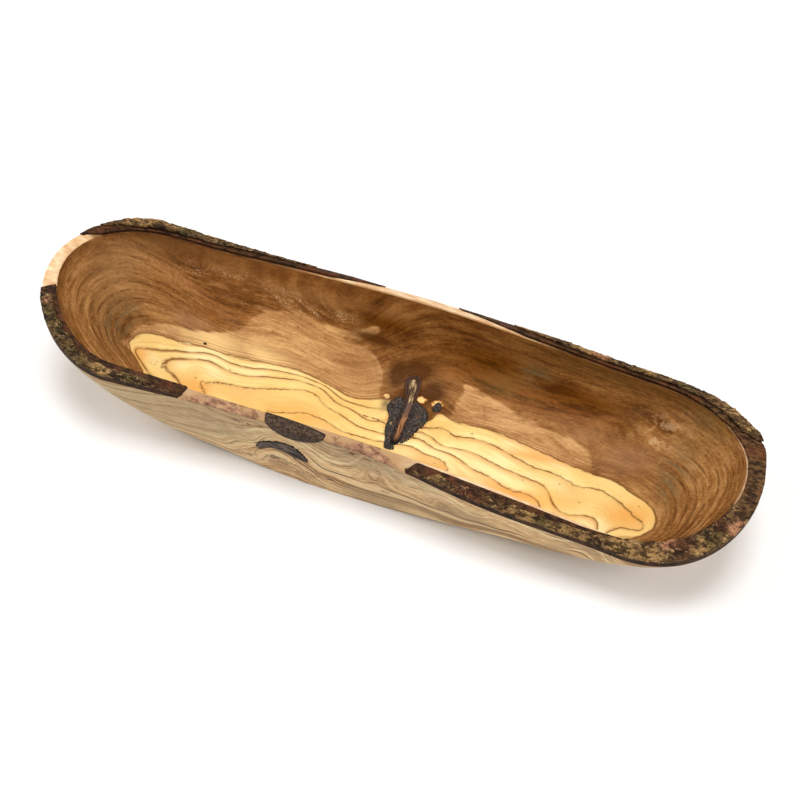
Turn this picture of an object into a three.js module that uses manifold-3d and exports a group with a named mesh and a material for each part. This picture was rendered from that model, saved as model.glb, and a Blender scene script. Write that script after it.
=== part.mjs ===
// Natural-edge bread bowl carved lengthwise from half an olive log, bark left on the rim.
// Millimetres. +X runs along the bowl, +Y is the far side, +Z is up, and the base stands on z = 0.
// The rim follows the skin of the log, so it is high at the two tips and dips along both sides.
import * as THREE from "three";
import { mergeVertices } from "three/addons/utils/BufferGeometryUtils.js";
import Module from "manifold-3d";

// The log the bowl is cut from.
const LOG_RADIUS = 116.8; // to the cambium, under the bark
const LOG_TOP = 60.8; // cambium height over the middle of the bowl
const LOG_TAPER = 8; // how much lower the right tip is than the middle, and the left one higher
const HALF_LENGTH = 200;
const HALF_WIDTH = 60;
const COLLAR = { x: 5, y: 60, spreadX: 75, spreadY: 45, rise: 4 }; // swelling beside the knot
const SAG = { x: -5, y: -55, spreadX: 60, spreadY: 30, rise: -2.5 }; // worn front middle

// Plan of the rim: reach from a straight centre line, then from its two end points.
// Sixteen stations anticlockwise: 0 front right shoulder, 2 right tip, 4 to 8 far side,
// 10 left tip, 12 to 16 near side.
const FOCUS_X = 138;
const INNER_REACH = [
  53, 54.5, 53, 47.5, 47, 52.6, 54.8, 53.3, 47.5, 53, 54.5, 51, 50, 48.5, 46.5, 49,
];
const OUTER_REACH = [
  61.4, 66, 62.2, 57.8, 54, 58.8, 61.5, 58.6, 57, 61, 61.5, 60.5, 57.8, 53.5, 52, 59.2,
];
const STATIONS = 16;

// Outside: a flat oval foot, off centre as carved, and walls that flare like a boat's.
const FOOT = { x: -7, y: -6, halfLength: 122, halfWidth: 45, power: 2.4 };
const WALL_CURVE = { side: 1.35, end: 1.3 };

// Inside: a trough with steep sides and long sloping ends.
const FLOOR = 9;
const PAN = { x: -10, y: -2, halfLength: 60, halfWidth: 10, power: 2 }; // the level part of the floor
const TROUGH_CURVE = { side: 2.2, end: 1.5 };

const ARRIS = 0.8; // soft edge on the rim
const WALL_HEIGHT = 50; // of the near side
const GAP = 0.3; // clearance between pieces that touch
const BAST = 1.3; // smooth inner bark
const CORK = 2.2; // rough outer bark
const FILM = 0.8; // scraps of inner bark
const RUN_STEP = 0.17; // stations from one cross-section of a run to the next
const RIPPLES = [41, 23.7]; // how fast the two waves of the rough bark run, in radians a station
const LENS_ROWS = 20;
const LENS_STOPS = 9;
const LENS_TIP = 0.12; // share of the lens's width that its tips keep
const LENS_DROP = 0.4; // share of the rim that its upper edge has come down by at its right tip
const POINT_TAPER = 0.7; // share of a run's width that is gone at its thin end
const POINT_HEIGHT = 0.35; // share of its thickness that is left there

const RIBS = 112; // stations the body is divided into
const HULL_ROWS = [0, 0.02, 0.08, 0.18, 0.34, 0.54, 0.76, 1];
const HOLLOW_ROWS = [0.988, 0.95, 0.89, 0.8, 0.68, 0.53, 0.36, 0.18];

const wasm = await Module();
wasm.setup();
const { Manifold, Mesh: SolidMesh } = wasm;

const clamp = (v, lo, hi) => Math.min(hi, Math.max(lo, v));
const mix = (a, b, k) => a + (b - a) * k;
const smooth = (v) => clamp(v, 0, 1) ** 2 * (3 - 2 * clamp(v, 0, 1));
const hump = (distance, spread) => Math.exp(-((distance / spread) ** 2));

// Smooth closed curve through the reach values.
function reachAt(values, t) {
  const n = values.length;
  const u = (((t % STATIONS) + STATIONS) % STATIONS) * (n / STATIONS);
  const k = Math.floor(u);
  const f = u - k;
  const [a, b, c, d] = [-1, 0, 1, 2].map((j) => values[(k + j + n) % n]);
  const slope = c - a;
  const bend = 2 * a - 5 * b + 4 * c - d;
  const twist = 3 * b - a - 3 * c + d;
  return b + 0.5 * (slope * f + bend * f ** 2 + twist * f ** 3);
}

// Where a station stands on the centre line (-1 to 1) and which way it looks.
function bearing(t) {
  const u = ((t % STATIONS) + STATIONS) % STATIONS;
  if (u < 4) return { focus: 1, angle: -Math.PI / 2 + (Math.PI / 4) * u };
  if (u < 8) return { focus: 1 - (u - 4) / 2, angle: Math.PI / 2 };
  if (u < 12) return { focus: -1, angle: Math.PI / 2 + (Math.PI / 4) * (u - 8) };
  return { focus: -1 + (u - 12) / 2, angle: -Math.PI / 2 };
}

function planPoint(t, reach) {
  const { focus, angle } = bearing(t);
  return [focus * FOCUS_X + reach * Math.cos(angle), reach * Math.sin(angle)];
}

// 0 along the sides and 1 at the tips.
const endness = (t) => Math.abs(Math.cos(bearing(t).angle));

// The point of a low oval that a rim point looks down to.
function ovalPoint({ x, y, halfLength, halfWidth, power }, [rimX, rimY]) {
  const turn = Math.atan2(rimY / HALF_WIDTH, rimX / HALF_LENGTH);
  const round = (v) => Math.sign(v) * Math.abs(v) ** (2 / power);
  return [x + halfLength * round(Math.cos(turn)), y + halfWidth * round(Math.sin(turn))];
}

const swell = ({ x, y, spreadX, spreadY, rise }, px, py) =>
  rise * Math.exp(-(((px - x) / spreadX) ** 2) - ((py - y) / spreadY) ** 2);

// Height of the cambium, the skin of the wood under the bark.
function cambium(x, y) {
  const crown = Math.sqrt(LOG_RADIUS ** 2 - y ** 2) - LOG_RADIUS;
  return LOG_TOP + crown - (LOG_TAPER * x) / HALF_LENGTH + swell(COLLAR, x, y) + swell(SAG, x, y);
}

// A point of the outer wall, s from 0 at the foot to 1 at the rim.
function hullPoint(t, s) {
  const [x, y] = planPoint(t, reachAt(OUTER_REACH, t));
  const [footX, footY] = ovalPoint(FOOT, [x, y]);
  const q = mix(WALL_CURVE.side, WALL_CURVE.end, endness(t) ** 2);
  const w = (1 - (1 - s) ** q) ** (1 / q);
  return [mix(footX, x, w), mix(footY, y, w), s * cambium(x, y)];
}

// A point of the hollow, k from 0 at the level part of the floor to 1 at the rim.
function hollowPoint(t, k) {
  const [x, y] = planPoint(t, reachAt(INNER_REACH, t));
  const [panX, panY] = ovalPoint(PAN, [x, y]);
  const m = mix(TROUGH_CURVE.side, TROUGH_CURVE.end, smooth(endness(t)));
  const climb = 1 - (1 - k ** m) ** (1 / m);
  return [mix(panX, x, k), mix(panY, y, k), mix(FLOOR, cambium(x, y), climb)];
}

// A point on the rim band: across from 0 inside to 1 outside, lift above the cambium.
function rimPoint(t, across, lift) {
  const reach = mix(reachAt(INNER_REACH, t), reachAt(OUTER_REACH, t), across);
  const [x, y] = planPoint(t, reach);
  return [x, y, cambium(x, y) + lift];
}

function geometryOf(points, faces) {
  const g = new THREE.BufferGeometry();
  g.setAttribute("position", new THREE.BufferAttribute(new Float32Array(points.flat()), 3));
  g.setIndex(faces);
  return g;
}

// Joins two closed rings of points of the same length.
function skin(faces, ringA, ringB) {
  for (let i = 0; i < ringA.length; i++) {
    const j = (i + 1) % ringA.length;
    faces.push(ringA[i], ringA[j], ringB[j], ringA[i], ringB[j], ringB[i]);
  }
}

// Closes a ring onto one point, looking down or up.
function fan(faces, middle, ring, down) {
  ring.forEach((a, i) => {
    const b = ring[(i + 1) % ring.length];
    faces.push(middle, down ? b : a, down ? a : b);
  });
}

// A closed mesh as a solid that can be cut and joined.
function solidFrom(geometry) {
  const bare = geometry.clone();
  bare.deleteAttribute("normal");
  bare.deleteAttribute("uv");
  const merged = mergeVertices(bare, 1e-4);
  const corners = Array.from(merged.index.array);
  const triVerts = [];
  for (let i = 0; i < corners.length; i += 3) {
    const [a, b, c] = corners.slice(i, i + 3);
    if (a !== b && b !== c && a !== c) triVerts.push(a, b, c);
  }
  return new Manifold(
    new SolidMesh({
      numProp: 3,
      vertProperties: merged.attributes.position.array,
      triVerts: new Uint32Array(triVerts),
    }),
  );
}

function geometryFrom(solid) {
  const mesh = solid.getMesh();
  const g = new THREE.BufferGeometry();
  g.setAttribute("position", new THREE.BufferAttribute(new Float32Array(mesh.vertProperties), 3));
  g.setIndex(Array.from(mesh.triVerts));
  return g;
}

// The whole carved bowl: foot, hull, rim and hollow in one skin.
function carvedBowl() {
  const points = [];
  const faces = [];
  const ring = (at) => {
    const start = points.length;
    for (let i = 0; i < RIBS; i++) points.push(at((STATIONS * i) / RIBS));
    return Array.from({ length: RIBS }, (_, i) => start + i);
  };
  const edge = (t) => ARRIS / (reachAt(OUTER_REACH, t) - reachAt(INNER_REACH, t));
  const rings = HULL_ROWS.slice(0, -1).map((s) => ring((t) => hullPoint(t, s)));
  rings.push(ring((t) => rimPoint(t, 1, -ARRIS)));
  rings.push(ring((t) => rimPoint(t, 1 - edge(t), 0)));
  rings.push(ring((t) => rimPoint(t, edge(t), 0)));
  rings.push(ring((t) => rimPoint(t, 0, -ARRIS)));
  HOLLOW_ROWS.forEach((k) => rings.push(ring((t) => hollowPoint(t, k))));
  rings.push(ring((t) => hollowPoint(t, 0)));
  for (let r = 1; r < rings.length; r++) skin(faces, rings[r - 1], rings[r]);
  fan(faces, points.push([FOOT.x, FOOT.y, 0]) - 1, rings[0], true);
  fan(faces, points.push([PAN.x, PAN.y, FLOOR]) - 1, rings[rings.length - 1], false);
  return geometryOf(points, faces);
}

// Closes a row of sections of the same length into one skin, with a fan over each end.
function loft(sections) {
  const points = sections.flat();
  const width = sections[0].length;
  const rings = sections.map((_, i) => Array.from({ length: width }, (_, j) => i * width + j));
  const faces = [];
  for (let i = 1; i < rings.length; i++) skin(faces, rings[i], rings[i - 1]);
  const first = rings[0];
  const last = rings[rings.length - 1];
  for (let j = 2; j < width; j++) {
    faces.push(first[0], first[j - 1], first[j]);
    faces.push(last[0], last[j], last[j - 1]);
  }
  return geometryOf(points, faces);
}

// 0 at the end of a run and 1 where it is as wide as it gets. A length of 0 is an end cut square.
const opened = (distance, length) => (length > 0 ? smooth(distance / length) : 1);

const NO_BULGE = { at: 0, spread: 1, rise: 0, overhang: 0 };

// A run of bark lying on the rim, from one station to another. from and to are given at the
// inner and the outer edge, because a break runs slantwise. inside says at which share of the
// rim's width it begins at the start and at the end, and turn between which stations that
// changes. point says how far each end takes to thin out, and bulge where the bark is thicker
// and overhangs the rim.
function barkRun(run) {
  const { from, to, base, thick, point, inside = [0, 0], turn = [from[1], to[1]] } = run;
  const { bulge = NO_BULGE, rough = 0 } = run;
  const length = to[1] - from[1];
  const count = Math.max(6, Math.round(length / RUN_STEP));
  const sections = [];
  for (let i = 0; i <= count; i++) {
    const k = i / count;
    const full = Math.min(opened(k * length, point[0]), opened((1 - k) * length, point[1]));
    const outerT = mix(from[1], to[1], k);
    const start = mix(inside[0], inside[1], smooth((outerT - turn[0]) / (turn[1] - turn[0])));
    const edge = mix(mix(start, 1, POINT_TAPER), start, full);
    const swollen = hump(outerT - bulge.at, bulge.spread);
    const height = (thick + bulge.rise * swollen) * mix(POINT_HEIGHT, 1, full);
    const width = reachAt(OUTER_REACH, outerT) - reachAt(INNER_REACH, outerT);
    const outside = 1 + (bulge.overhang * swollen) / width;
    const [fast, slow] = RIPPLES.map((pace) => Math.sin(pace * k * length));
    const ripple = (rough * (fast + slow)) / 2;
    const profile = [
      [edge, 0],
      [1, 0],
      [outside, height * 0.85 + ripple * 0.4],
      [mix(edge, outside, 0.75), height + ripple * 0.5],
      [mix(edge, 1, 0.38), height * 0.92 - ripple * 0.5],
      [edge + 0.02, height * 0.55],
    ];
    const innerT = mix(from[0], to[0], k);
    sections.push(
      profile.map(([across, lift]) => {
        const slant = clamp((across - start) / (1 - start), 0, 1);
        return rimPoint(mix(innerT, outerT, slant), across, base + lift);
      }),
    );
  }
  return loft(sections);
}

// A point over the outer arris: down is the way along the skin from the arris, negative on the
// rim and positive on the wall, and lift is the distance from the wood.
function arrisPoint(t, down, lift) {
  const { angle } = bearing(t);
  const width = reachAt(OUTER_REACH, t) - reachAt(INNER_REACH, t);
  const [x, y, z] = down < 0 ? rimPoint(t, 1 + down / width, 0) : hullPoint(t, 1 - down / WALL_HEIGHT);
  const turn = smooth(0.5 + down / (4 * ARRIS)) * (Math.PI / 2);
  const out = lift * Math.sin(turn);
  return [x + out * Math.cos(angle), y + out * Math.sin(angle), z + lift * Math.cos(turn)];
}

// The lens of bark left on the near side, bent over the outer arris. Its upper edge is nearly
// straight, and its lower edge is an arc on the wall.
function barkLens({ from, to, rim, wall, thick }) {
  const sections = [];
  for (let i = 0; i <= LENS_ROWS; i++) {
    const k = (1 - Math.cos((Math.PI * i) / LENS_ROWS)) / 2; // closer together at the tips
    const t = mix(from, to, k);
    const full = Math.max(LENS_TIP, Math.sqrt(4 * k * (1 - k)));
    const upper = -rim * (1 - LENS_DROP * k ** 2);
    const lower = mix(upper, wall, full);
    const stops = Array.from({ length: LENS_STOPS }, (_, j) => mix(upper, lower, j / (LENS_STOPS - 1)));
    const inner = stops.map((down) => arrisPoint(t, down, GAP));
    const outer = stops.map((down) => arrisPoint(t, down, GAP + thick * full));
    sections.push([...inner, ...outer.reverse()]);
  }
  return loft(sections);
}

// Moves every side of an outline outwards by a distance, or inwards if it is negative.
function grown(points, distance) {
  const turn = Math.sign(THREE.ShapeUtils.area(points.map(([x, y]) => new THREE.Vector2(x, y))));
  const sideNormal = ([ax, ay], [bx, by]) => {
    const length = Math.hypot(bx - ax, by - ay);
    return [(turn * (by - ay)) / length, (-turn * (bx - ax)) / length];
  };
  return points.map((point, i) => {
    const before = sideNormal(points.at(i - 1), point);
    const after = sideNormal(point, points[(i + 1) % points.length]);
    const scale = distance / (1 + before[0] * after[0] + before[1] * after[1]);
    return [point[0] + scale * (before[0] + after[0]), point[1] + scale * (before[1] + after[1])];
  });
}

// A straight bar with an outline for its section: along +Z, or along +Y for the wall.
function bar(points, length) {
  const shape = new THREE.Shape(points.map(([x, y]) => new THREE.Vector2(x, y)));
  return new THREE.ExtrudeGeometry(shape, { depth: length, bevelEnabled: false });
}

const upright = (points) => bar(points, LOG_TOP);
const facing = (points) => bar(points, FOCUS_X / 2).rotateX(Math.PI / 2);

// A shallow recess under a bar, and the inlay that fills it. Both keep to the surface of the
// bowl: they are what a copy of the bowl, moved inwards by the depth, leaves uncovered.
const movedBowl = (bowlShape, shift) => solidFrom(bowlShape.clone().translate(...shift));
const recess = (bowlShape, tool, shift) => solidFrom(tool).subtract(movedBowl(bowlShape, shift));
function inlay(bowlShape, tool, shift) {
  return solidFrom(bowlShape).intersect(solidFrom(tool)).subtract(movedBowl(bowlShape, shift));
}

// Knot in the floor: a sliced branch with a pocket of old bark on each side of it.
const KNOT_DEPTH = 5;
const KNOT_CORE = [
  [0, 29], [4, 32], [8, 31], [10, 25], [10, 17], [10.5, 9], [10.5, 0],
  [10.5, -12], [8, -16], [5.5, -14], [4.5, -2], [4, 9], [4, 16], [1, 23],
];
const POCKET_LEFT = [
  [4, 16], [4, 9], [4.5, -2], [5.5, -14], [8, -16], [9, -19], [4, -20],
  [2, -13], [-0.5, -6], [-1, 2], [-4.5, 8], [-3.5, 13], [0, 17],
];
const POCKET_RIGHT = [
  [10, 17], [10.5, 9], [10.5, 0], [10.5, -12], [12, -13], [15, -8],
  [17, -2], [19.5, 3], [20, 9], [17, 14], [13, 15.5],
];
const PIN_KNOT = [[21, 14.5], [23.5, 14], [25, 16.5], [24.5, 19.5], [22.5, 20.5], [20.8, 18]];

// Sliver of old bark closed over by the wood of the near wall.
const SLIVER_DEPTH = 3;
const SLIVER = [
  [-58, 23.6], [-54.6, 28.8], [-48, 32], [-41, 33.8], [-35.5, 32], [-32, 28.5], [-28, 22],
  [-34.8, 22.6], [-41, 24.8], [-47, 26], [-52, 25], [-55.7, 22],
];

const inFloor = { barFrom: upright, inwards: [0, 0, -1], depth: KNOT_DEPTH };
const inWall = { barFrom: facing, inwards: [0, 1, 0], depth: SLIVER_DEPTH };
const INLAYS = {
  knot_core: { points: KNOT_CORE, ...inFloor },
  knot_bark_left: { points: POCKET_LEFT, ...inFloor },
  knot_bark_right: { points: POCKET_RIGHT, ...inFloor },
  pin_knot: { points: PIN_KNOT, ...inFloor },
  wall_bark_sliver: { points: SLIVER, ...inWall },
};

const bowlShape = carvedBowl();
const solids = new Map();
let bowlSolid = solidFrom(bowlShape);
for (const [name, { points, barFrom, inwards, depth }] of Object.entries(INLAYS)) {
  const by = (distance) => inwards.map((v) => v * distance);
  bowlSolid = bowlSolid.subtract(recess(bowlShape, barFrom(grown(points, GAP / 2)), by(depth)));
  solids.set(name, inlay(bowlShape, barFrom(grown(points, -GAP / 2)), by(depth - GAP)));
}
solids.set("bowl_body", bowlSolid);

// Bark: a smooth inner layer on the wood, and the rough outer layer on top of it.
const bastOn = (run) => barkRun({ base: GAP, thick: BAST, ...run });
const corkOn = (run) => barkRun({ base: GAP + BAST + GAP, thick: CORK, rough: 0.5, ...run });
const filmOn = (run) => barkRun({ base: GAP, thick: FILM, inside: [0.2, 0.2], ...run });
const bark = {
  bast_front_left: bastOn({ from: [10.46, 10.5], to: [12.66, 12.56], point: [0, 0.05] }),
  bark_front_left: corkOn({
    from: [10.6, 10.57],
    to: [12.5, 12.5],
    inside: [0.25, 0.5],
    point: [0.05, 0.2],
  }),
  bast_front_middle: filmOn({ from: [12.58, 12.64], to: [13.16, 13.2], point: [0.2, 0.3] }),
  bark_front_patch: barkLens({ from: 13.25, to: 13.74, rim: 4.6, wall: 8, thick: 1.3 }),
  bast_front_knot: filmOn({ from: [13.8, 13.8], to: [14.3, 14.32], point: [0.3, 0.2] }),
  bast_front_right: bastOn({
    from: [14.36, 14.4],
    to: [17.455, 17.455],
    inside: [0.22, 0],
    turn: [15.7, 16.3],
    point: [0.12, 0],
  }),
  bark_front_right: corkOn({
    from: [14.46, 14.46],
    to: [17.45, 17.45],
    inside: [0.58, 0.06],
    turn: [15.6, 16.4],
    point: [0.2, 0],
  }),
  bast_right_end: bastOn({
    from: [1.465, 1.465],
    to: [3.45, 3.45],
    inside: [0.1, 0],
    point: [0, 0],
    bulge: { at: 2.38, spread: 0.2, rise: 0, overhang: 1.9 },
  }),
  bark_right_end: corkOn({
    from: [2.54, 2.46],
    to: [3.445, 3.445],
    inside: [0.32, 0.28],
    point: [0.1, 0],
    bulge: { at: 2.45, spread: 0.2, rise: 1.6, overhang: 2 },
  }),
  bast_back_right: bastOn({ from: [3.46, 3.46], to: [5.6, 5.72], point: [0, 0.55] }),
  bark_back_right: corkOn({ from: [3.465, 3.465], to: [5.1, 5.24], inside: [0.3, 0.3], point: [0, 0.5] }),
  bast_back_left: bastOn({ from: [6.5, 6.36], to: [9.5, 9.54], point: [0.35, 0.2] }),
  bark_back_left: corkOn({
    from: [7.1, 6.96],
    to: [9.16, 9.26],
    inside: [0.2, 0.15],
    point: [1.1, 0.4],
    bulge: { at: 8.62, spread: 0.35, rise: 2, overhang: 0.5 },
  }),
};
for (const [name, geometry] of Object.entries(bark)) solids.set(name, solidFrom(geometry));

const TINTS = {
  bowl_body: "#c9924f",
  knot_core: "#5a3420",
  knot_bark_left: "#2f2a28",
  knot_bark_right: "#2f2a28",
  pin_knot: "#2f2a28",
  wall_bark_sliver: "#33261d",
};
const tintOf = (name) => TINTS[name] ?? (name.startsWith("bast") ? "#4a2a1a" : "#6b5638");

const bowl = new THREE.Group();
bowl.name = "bread_bowl";
for (const [name, solid] of solids) {
  const material = new THREE.MeshStandardMaterial({ color: tintOf(name), roughness: 0.6 });
  const mesh = new THREE.Mesh(geometryFrom(solid), material);
  mesh.name = name;
  bowl.add(mesh);
}

// The finished bowl stands with the middle of its outline over the origin.
const middle = new THREE.Box3().setFromObject(bowl, true).getCenter(new THREE.Vector3());
bowl.position.set(-middle.x, -middle.y, 0);

export default bowl;
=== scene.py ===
import math

import bpy
import numpy as np
from mathutils import Matrix, Vector, geometry, noise
from mathutils.bvhtree import BVHTree


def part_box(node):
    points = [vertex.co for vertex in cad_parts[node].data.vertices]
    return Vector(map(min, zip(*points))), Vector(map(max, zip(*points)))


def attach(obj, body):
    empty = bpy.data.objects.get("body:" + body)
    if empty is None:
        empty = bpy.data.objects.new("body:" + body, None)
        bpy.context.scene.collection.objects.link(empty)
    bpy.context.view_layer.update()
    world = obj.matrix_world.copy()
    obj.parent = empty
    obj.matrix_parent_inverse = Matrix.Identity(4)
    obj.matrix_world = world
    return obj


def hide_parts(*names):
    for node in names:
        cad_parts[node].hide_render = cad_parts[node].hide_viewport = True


# Natural-edge bread bowl carved from half an olive log: fine surfaces, bark and wood materials.
# The surfaces follow the formulas of the CAD part, in millimetres: +X to the lower tip, +Y to the
# far side, z = 0 on the table. to_frame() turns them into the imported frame, in metres.

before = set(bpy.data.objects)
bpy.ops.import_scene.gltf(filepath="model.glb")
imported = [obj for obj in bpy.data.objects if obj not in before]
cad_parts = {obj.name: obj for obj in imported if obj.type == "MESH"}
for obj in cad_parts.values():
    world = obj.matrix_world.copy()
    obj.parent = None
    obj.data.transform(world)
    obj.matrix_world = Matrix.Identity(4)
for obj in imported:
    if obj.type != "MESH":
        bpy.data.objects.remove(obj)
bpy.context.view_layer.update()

MM = 0.001

# The log the bowl is cut from.
LOG_RADIUS = 116.8
LOG_TOP = 60.8
LOG_TAPER = 8
HALF_LENGTH = 200
HALF_WIDTH = 60
COLLAR = (5, 60, 75, 45, 4)  # swelling beside the knot: x, y, spreads, rise
SAG = (-5, -55, 60, 30, -2.5)  # worn front middle

# Plan of the rim by sixteen stations: 0 front right shoulder, 2 right tip, 4 to 8 far side,
# 10 left tip, 12 to 16 near side.
STATIONS = 16
STATION_TURN = 45  # degrees from station to station round the tips
FOCUS_X = 138
INNER_REACH = (53, 54.5, 53, 47.5, 47, 52.6, 54.8, 53.3, 47.5, 53, 54.5, 51, 50, 48.5, 46.5, 49)
OUTER_REACH = (61.4, 66, 62.2, 57.8, 54, 58.8, 61.5, 58.6, 57, 61, 61.5, 60.5, 57.8, 53.5, 52, 59.2)

FOOT = (-7, -6, 122, 45, 2.4)  # middle x, y, half length, half width, power
PAN = (-10, -2, 60, 10, 2)  # the level part of the floor
FLOOR = 9
WALL_CURVE = (1.35, 1.3)  # at the sides and at the tips
TROUGH_CURVE = (2.2, 1.5)  # the same for the hollow
ARRIS = 0.8  # rounding of both edges of the rim
WALL_HEIGHT = 50  # about how high the rim stands on the near side

# How finely the wood is drawn.
RIBS = 800
HULL_ROWS = 30
HOLLOW_ROWS = 70
PAN_ROWS = 8
RIM_ROWS = 6
ARRIS_ROWS = 3
CURVE_STEPS = 500
OUTLINE_STEPS = 1601
SOLE_SHARES = (0.25, 0.5, 0.75)


# Formulas of the carved shape

def reach_at(values, t):
    values = np.asarray(values, float)
    n = len(values)
    u = np.mod(t, STATIONS) * n / STATIONS
    k = np.floor(u).astype(int)
    f = u - k
    a, b, c, d = (values[(k + j) % n] for j in (-1, 0, 1, 2))
    slope = c - a
    bend = 2 * a - 5 * b + 4 * c - d
    twist = 3 * b - a - 3 * c + d
    return b + 0.5 * (slope * f + bend * f**2 + twist * f**3)


def bearing(t):
    """Where a station stands on the centre line (-1 to 1) and which way it looks."""
    u = np.mod(t, STATIONS)
    parts = [u < 4, u < 8, u < 12, u >= 12]
    focus = np.select(parts, [1, 1 - (u - 4) / 2, -1, -1 + (u - 12) / 2])
    degrees = np.select(parts, [-90 + STATION_TURN * u, 90, 90 + STATION_TURN * (u - 8), -90])
    return focus, np.radians(degrees)


def plan_point(t, reach):
    focus, angle = bearing(t)
    return focus * FOCUS_X + reach * np.cos(angle), reach * np.sin(angle)


def swell(bump, x, y):
    at_x, at_y, spread_x, spread_y, rise = bump
    return rise * np.exp(-(((x - at_x) / spread_x) ** 2) - ((y - at_y) / spread_y) ** 2)


def cambium(x, y):
    """Height of the skin of the wood under the bark."""
    crown = np.sqrt(LOG_RADIUS**2 - y**2) - LOG_RADIUS
    return LOG_TOP + crown - LOG_TAPER * x / HALF_LENGTH + swell(COLLAR, x, y) + swell(SAG, x, y)


def oval_point(oval, x, y):
    middle_x, middle_y, half_length, half_width, power = oval
    turn = np.arctan2(y / HALF_WIDTH, x / HALF_LENGTH)
    c, s = np.cos(turn), np.sin(turn)
    along = np.sign(c) * np.abs(c) ** (2 / power)
    across = np.sign(s) * np.abs(s) ** (2 / power)
    return middle_x + half_length * along, middle_y + half_width * across


def blend(a, b, k):
    return a + (b - a) * k


def rising(share):
    share = np.clip(share, 0, 1)
    return share**2 * (3 - 2 * share)


def hull_point(t, s):
    """Outer wall, s from 0 at the foot to 1 at the rim."""
    x, y = plan_point(t, reach_at(OUTER_REACH, t))
    foot_x, foot_y = oval_point(FOOT, x, y)
    q = blend(*WALL_CURVE, np.cos(bearing(t)[1]) ** 2)
    w = (1 - (1 - s) ** q) ** (1 / q)
    return np.stack([blend(foot_x, x, w), blend(foot_y, y, w), s * cambium(x, y)], -1)


def hollow_point(t, k):
    """Inner wall, k from 0 at the level part of the floor to 1 at the rim."""
    x, y = plan_point(t, reach_at(INNER_REACH, t))
    pan_x, pan_y = oval_point(PAN, x, y)
    end = np.abs(np.cos(bearing(t)[1]))
    m = blend(*TROUGH_CURVE, end**2 * (3 - 2 * end))
    climb = 1 - (1 - k**m) ** (1 / m)
    return np.stack([blend(pan_x, x, k), blend(pan_y, y, k), blend(FLOOR, cambium(x, y), climb)], -1)


def rim_point(t, across, lift):
    """Rim band: across from 0 inside to 1 outside, lift above the cambium."""
    reach = blend(reach_at(INNER_REACH, t), reach_at(OUTER_REACH, t), across)
    x, y = plan_point(t, reach)
    return np.stack([x, y, cambium(x, y) + lift], -1)


def rim_width(t):
    return reach_at(OUTER_REACH, t) - reach_at(INNER_REACH, t)


def even_steps(curve, count):
    """Values from 0 to 1 that cut a curve into steps of the same length."""
    dense = np.linspace(0, 1, CURVE_STEPS)
    hops = np.linalg.norm(np.diff(curve(dense), axis=0), axis=1)
    length = np.concatenate([[0], np.cumsum(hops)])
    return np.interp(np.linspace(0, length[-1], count), length, dense)


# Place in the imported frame

def frame_shift():
    """The CAD part stands with the middle of its outline over the origin."""
    low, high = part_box("bowl_body")
    outline = rim_point(np.linspace(0, STATIONS, OUTLINE_STEPS), 1, 0)
    middle = (outline.min(0) + outline.max(0)) / 2
    return np.array([(low.x + high.x) / 2 / MM - middle[0], (low.y + high.y) / 2 / MM - middle[1], 0])


SHIFT = frame_shift()


def to_frame(points):
    return (np.asarray(points, float) + SHIFT) * MM


# Smooth fields over the surface

def smooth_field(known, levels, wanted):
    """The smoothest values at the wanted points that pass the given levels at the known ones."""
    scale = 100
    slack = 1e-5
    known, wanted = np.asarray(known, float) / scale, np.asarray(wanted, float) / scale
    n = len(known)
    apart = np.linalg.norm(known[:, None] - known[None], axis=2)
    system = np.zeros((n + 4, n + 4))
    system[:n, :n] = apart**3 + slack * np.eye(n)
    system[:n, n] = 1
    system[:n, n + 1:] = known
    system[n:, :n] = system[:n, n:].T
    weights = np.linalg.solve(system, np.concatenate([levels, np.zeros(4)]))
    values = wanted @ weights[n + 1:] + weights[n]
    for point, weight in zip(known, weights):
        values += weight * np.linalg.norm(wanted - point, axis=1) ** 3
    return values


def blot(points, at, size):
    """1 at a place and fading to 0 round it. at and size are x, y and z."""
    return np.exp(-(((points - np.array(at)) / np.array(size)) ** 2).sum(-1))


def steepness(points, values):
    """How many levels a field rises in a millimetre along the surface, on a closed grid."""
    along, along_value = (np.roll(v, -1, 1) - np.roll(v, 1, 1) for v in (points, values))
    across, across_value = np.gradient(points, axis=0) * 2, np.gradient(values, axis=0) * 2
    aa, bb, ab = (along**2).sum(-1), (across**2).sum(-1), (along * across).sum(-1)
    area = np.maximum(aa * bb - ab**2, 1e-9)
    square = (bb * along_value**2 - 2 * ab * along_value * across_value + aa * across_value**2) / area
    return np.sqrt(np.clip(square, 1e-6, 4))


def inside_distance(places, outline):
    """Distance in from the edge of an outline in a plane, negative outside it."""
    a = np.asarray(outline, float)
    b = np.roll(a, -1, 0)
    gap = np.full(len(places), np.inf)
    inside = np.zeros(len(places), bool)
    x, y = places.T
    for (ax, ay), (bx, by) in zip(a, b):
        share = ((x - ax) * (bx - ax) + (y - ay) * (by - ay)) / ((bx - ax) ** 2 + (by - ay) ** 2)
        share = np.clip(share, 0, 1)
        gap = np.minimum(gap, np.hypot(x - ax - share * (bx - ax), y - ay - share * (by - ay)))
        crosses = (ay > y) != (by > y)
        with np.errstate(divide="ignore", invalid="ignore"):
            inside ^= crosses & (x < (bx - ax) * (y - ay) / (by - ay) + ax)
    return np.where(inside, gap, -gap)


def rounded(outline, steps=4):
    """A smooth closed curve through the corners of an outline."""
    n = len(outline)
    t = np.arange(n * steps) * STATIONS / (n * steps)
    corners = np.asarray(outline, float)
    return np.stack([reach_at(corners[:, 0], t), reach_at(corners[:, 1], t)], -1)


# Meshes

def grid_faces(rows, columns):
    """Quads between the rings of a grid that closes on itself along its rows."""
    i = np.arange(columns)
    j = (i + 1) % columns
    faces = []
    for r in range(rows - 1):
        low, high = r * columns, (r + 1) * columns
        faces.append(np.stack([low + i, low + j, high + j, high + i], -1))
    return np.concatenate(faces)


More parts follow.
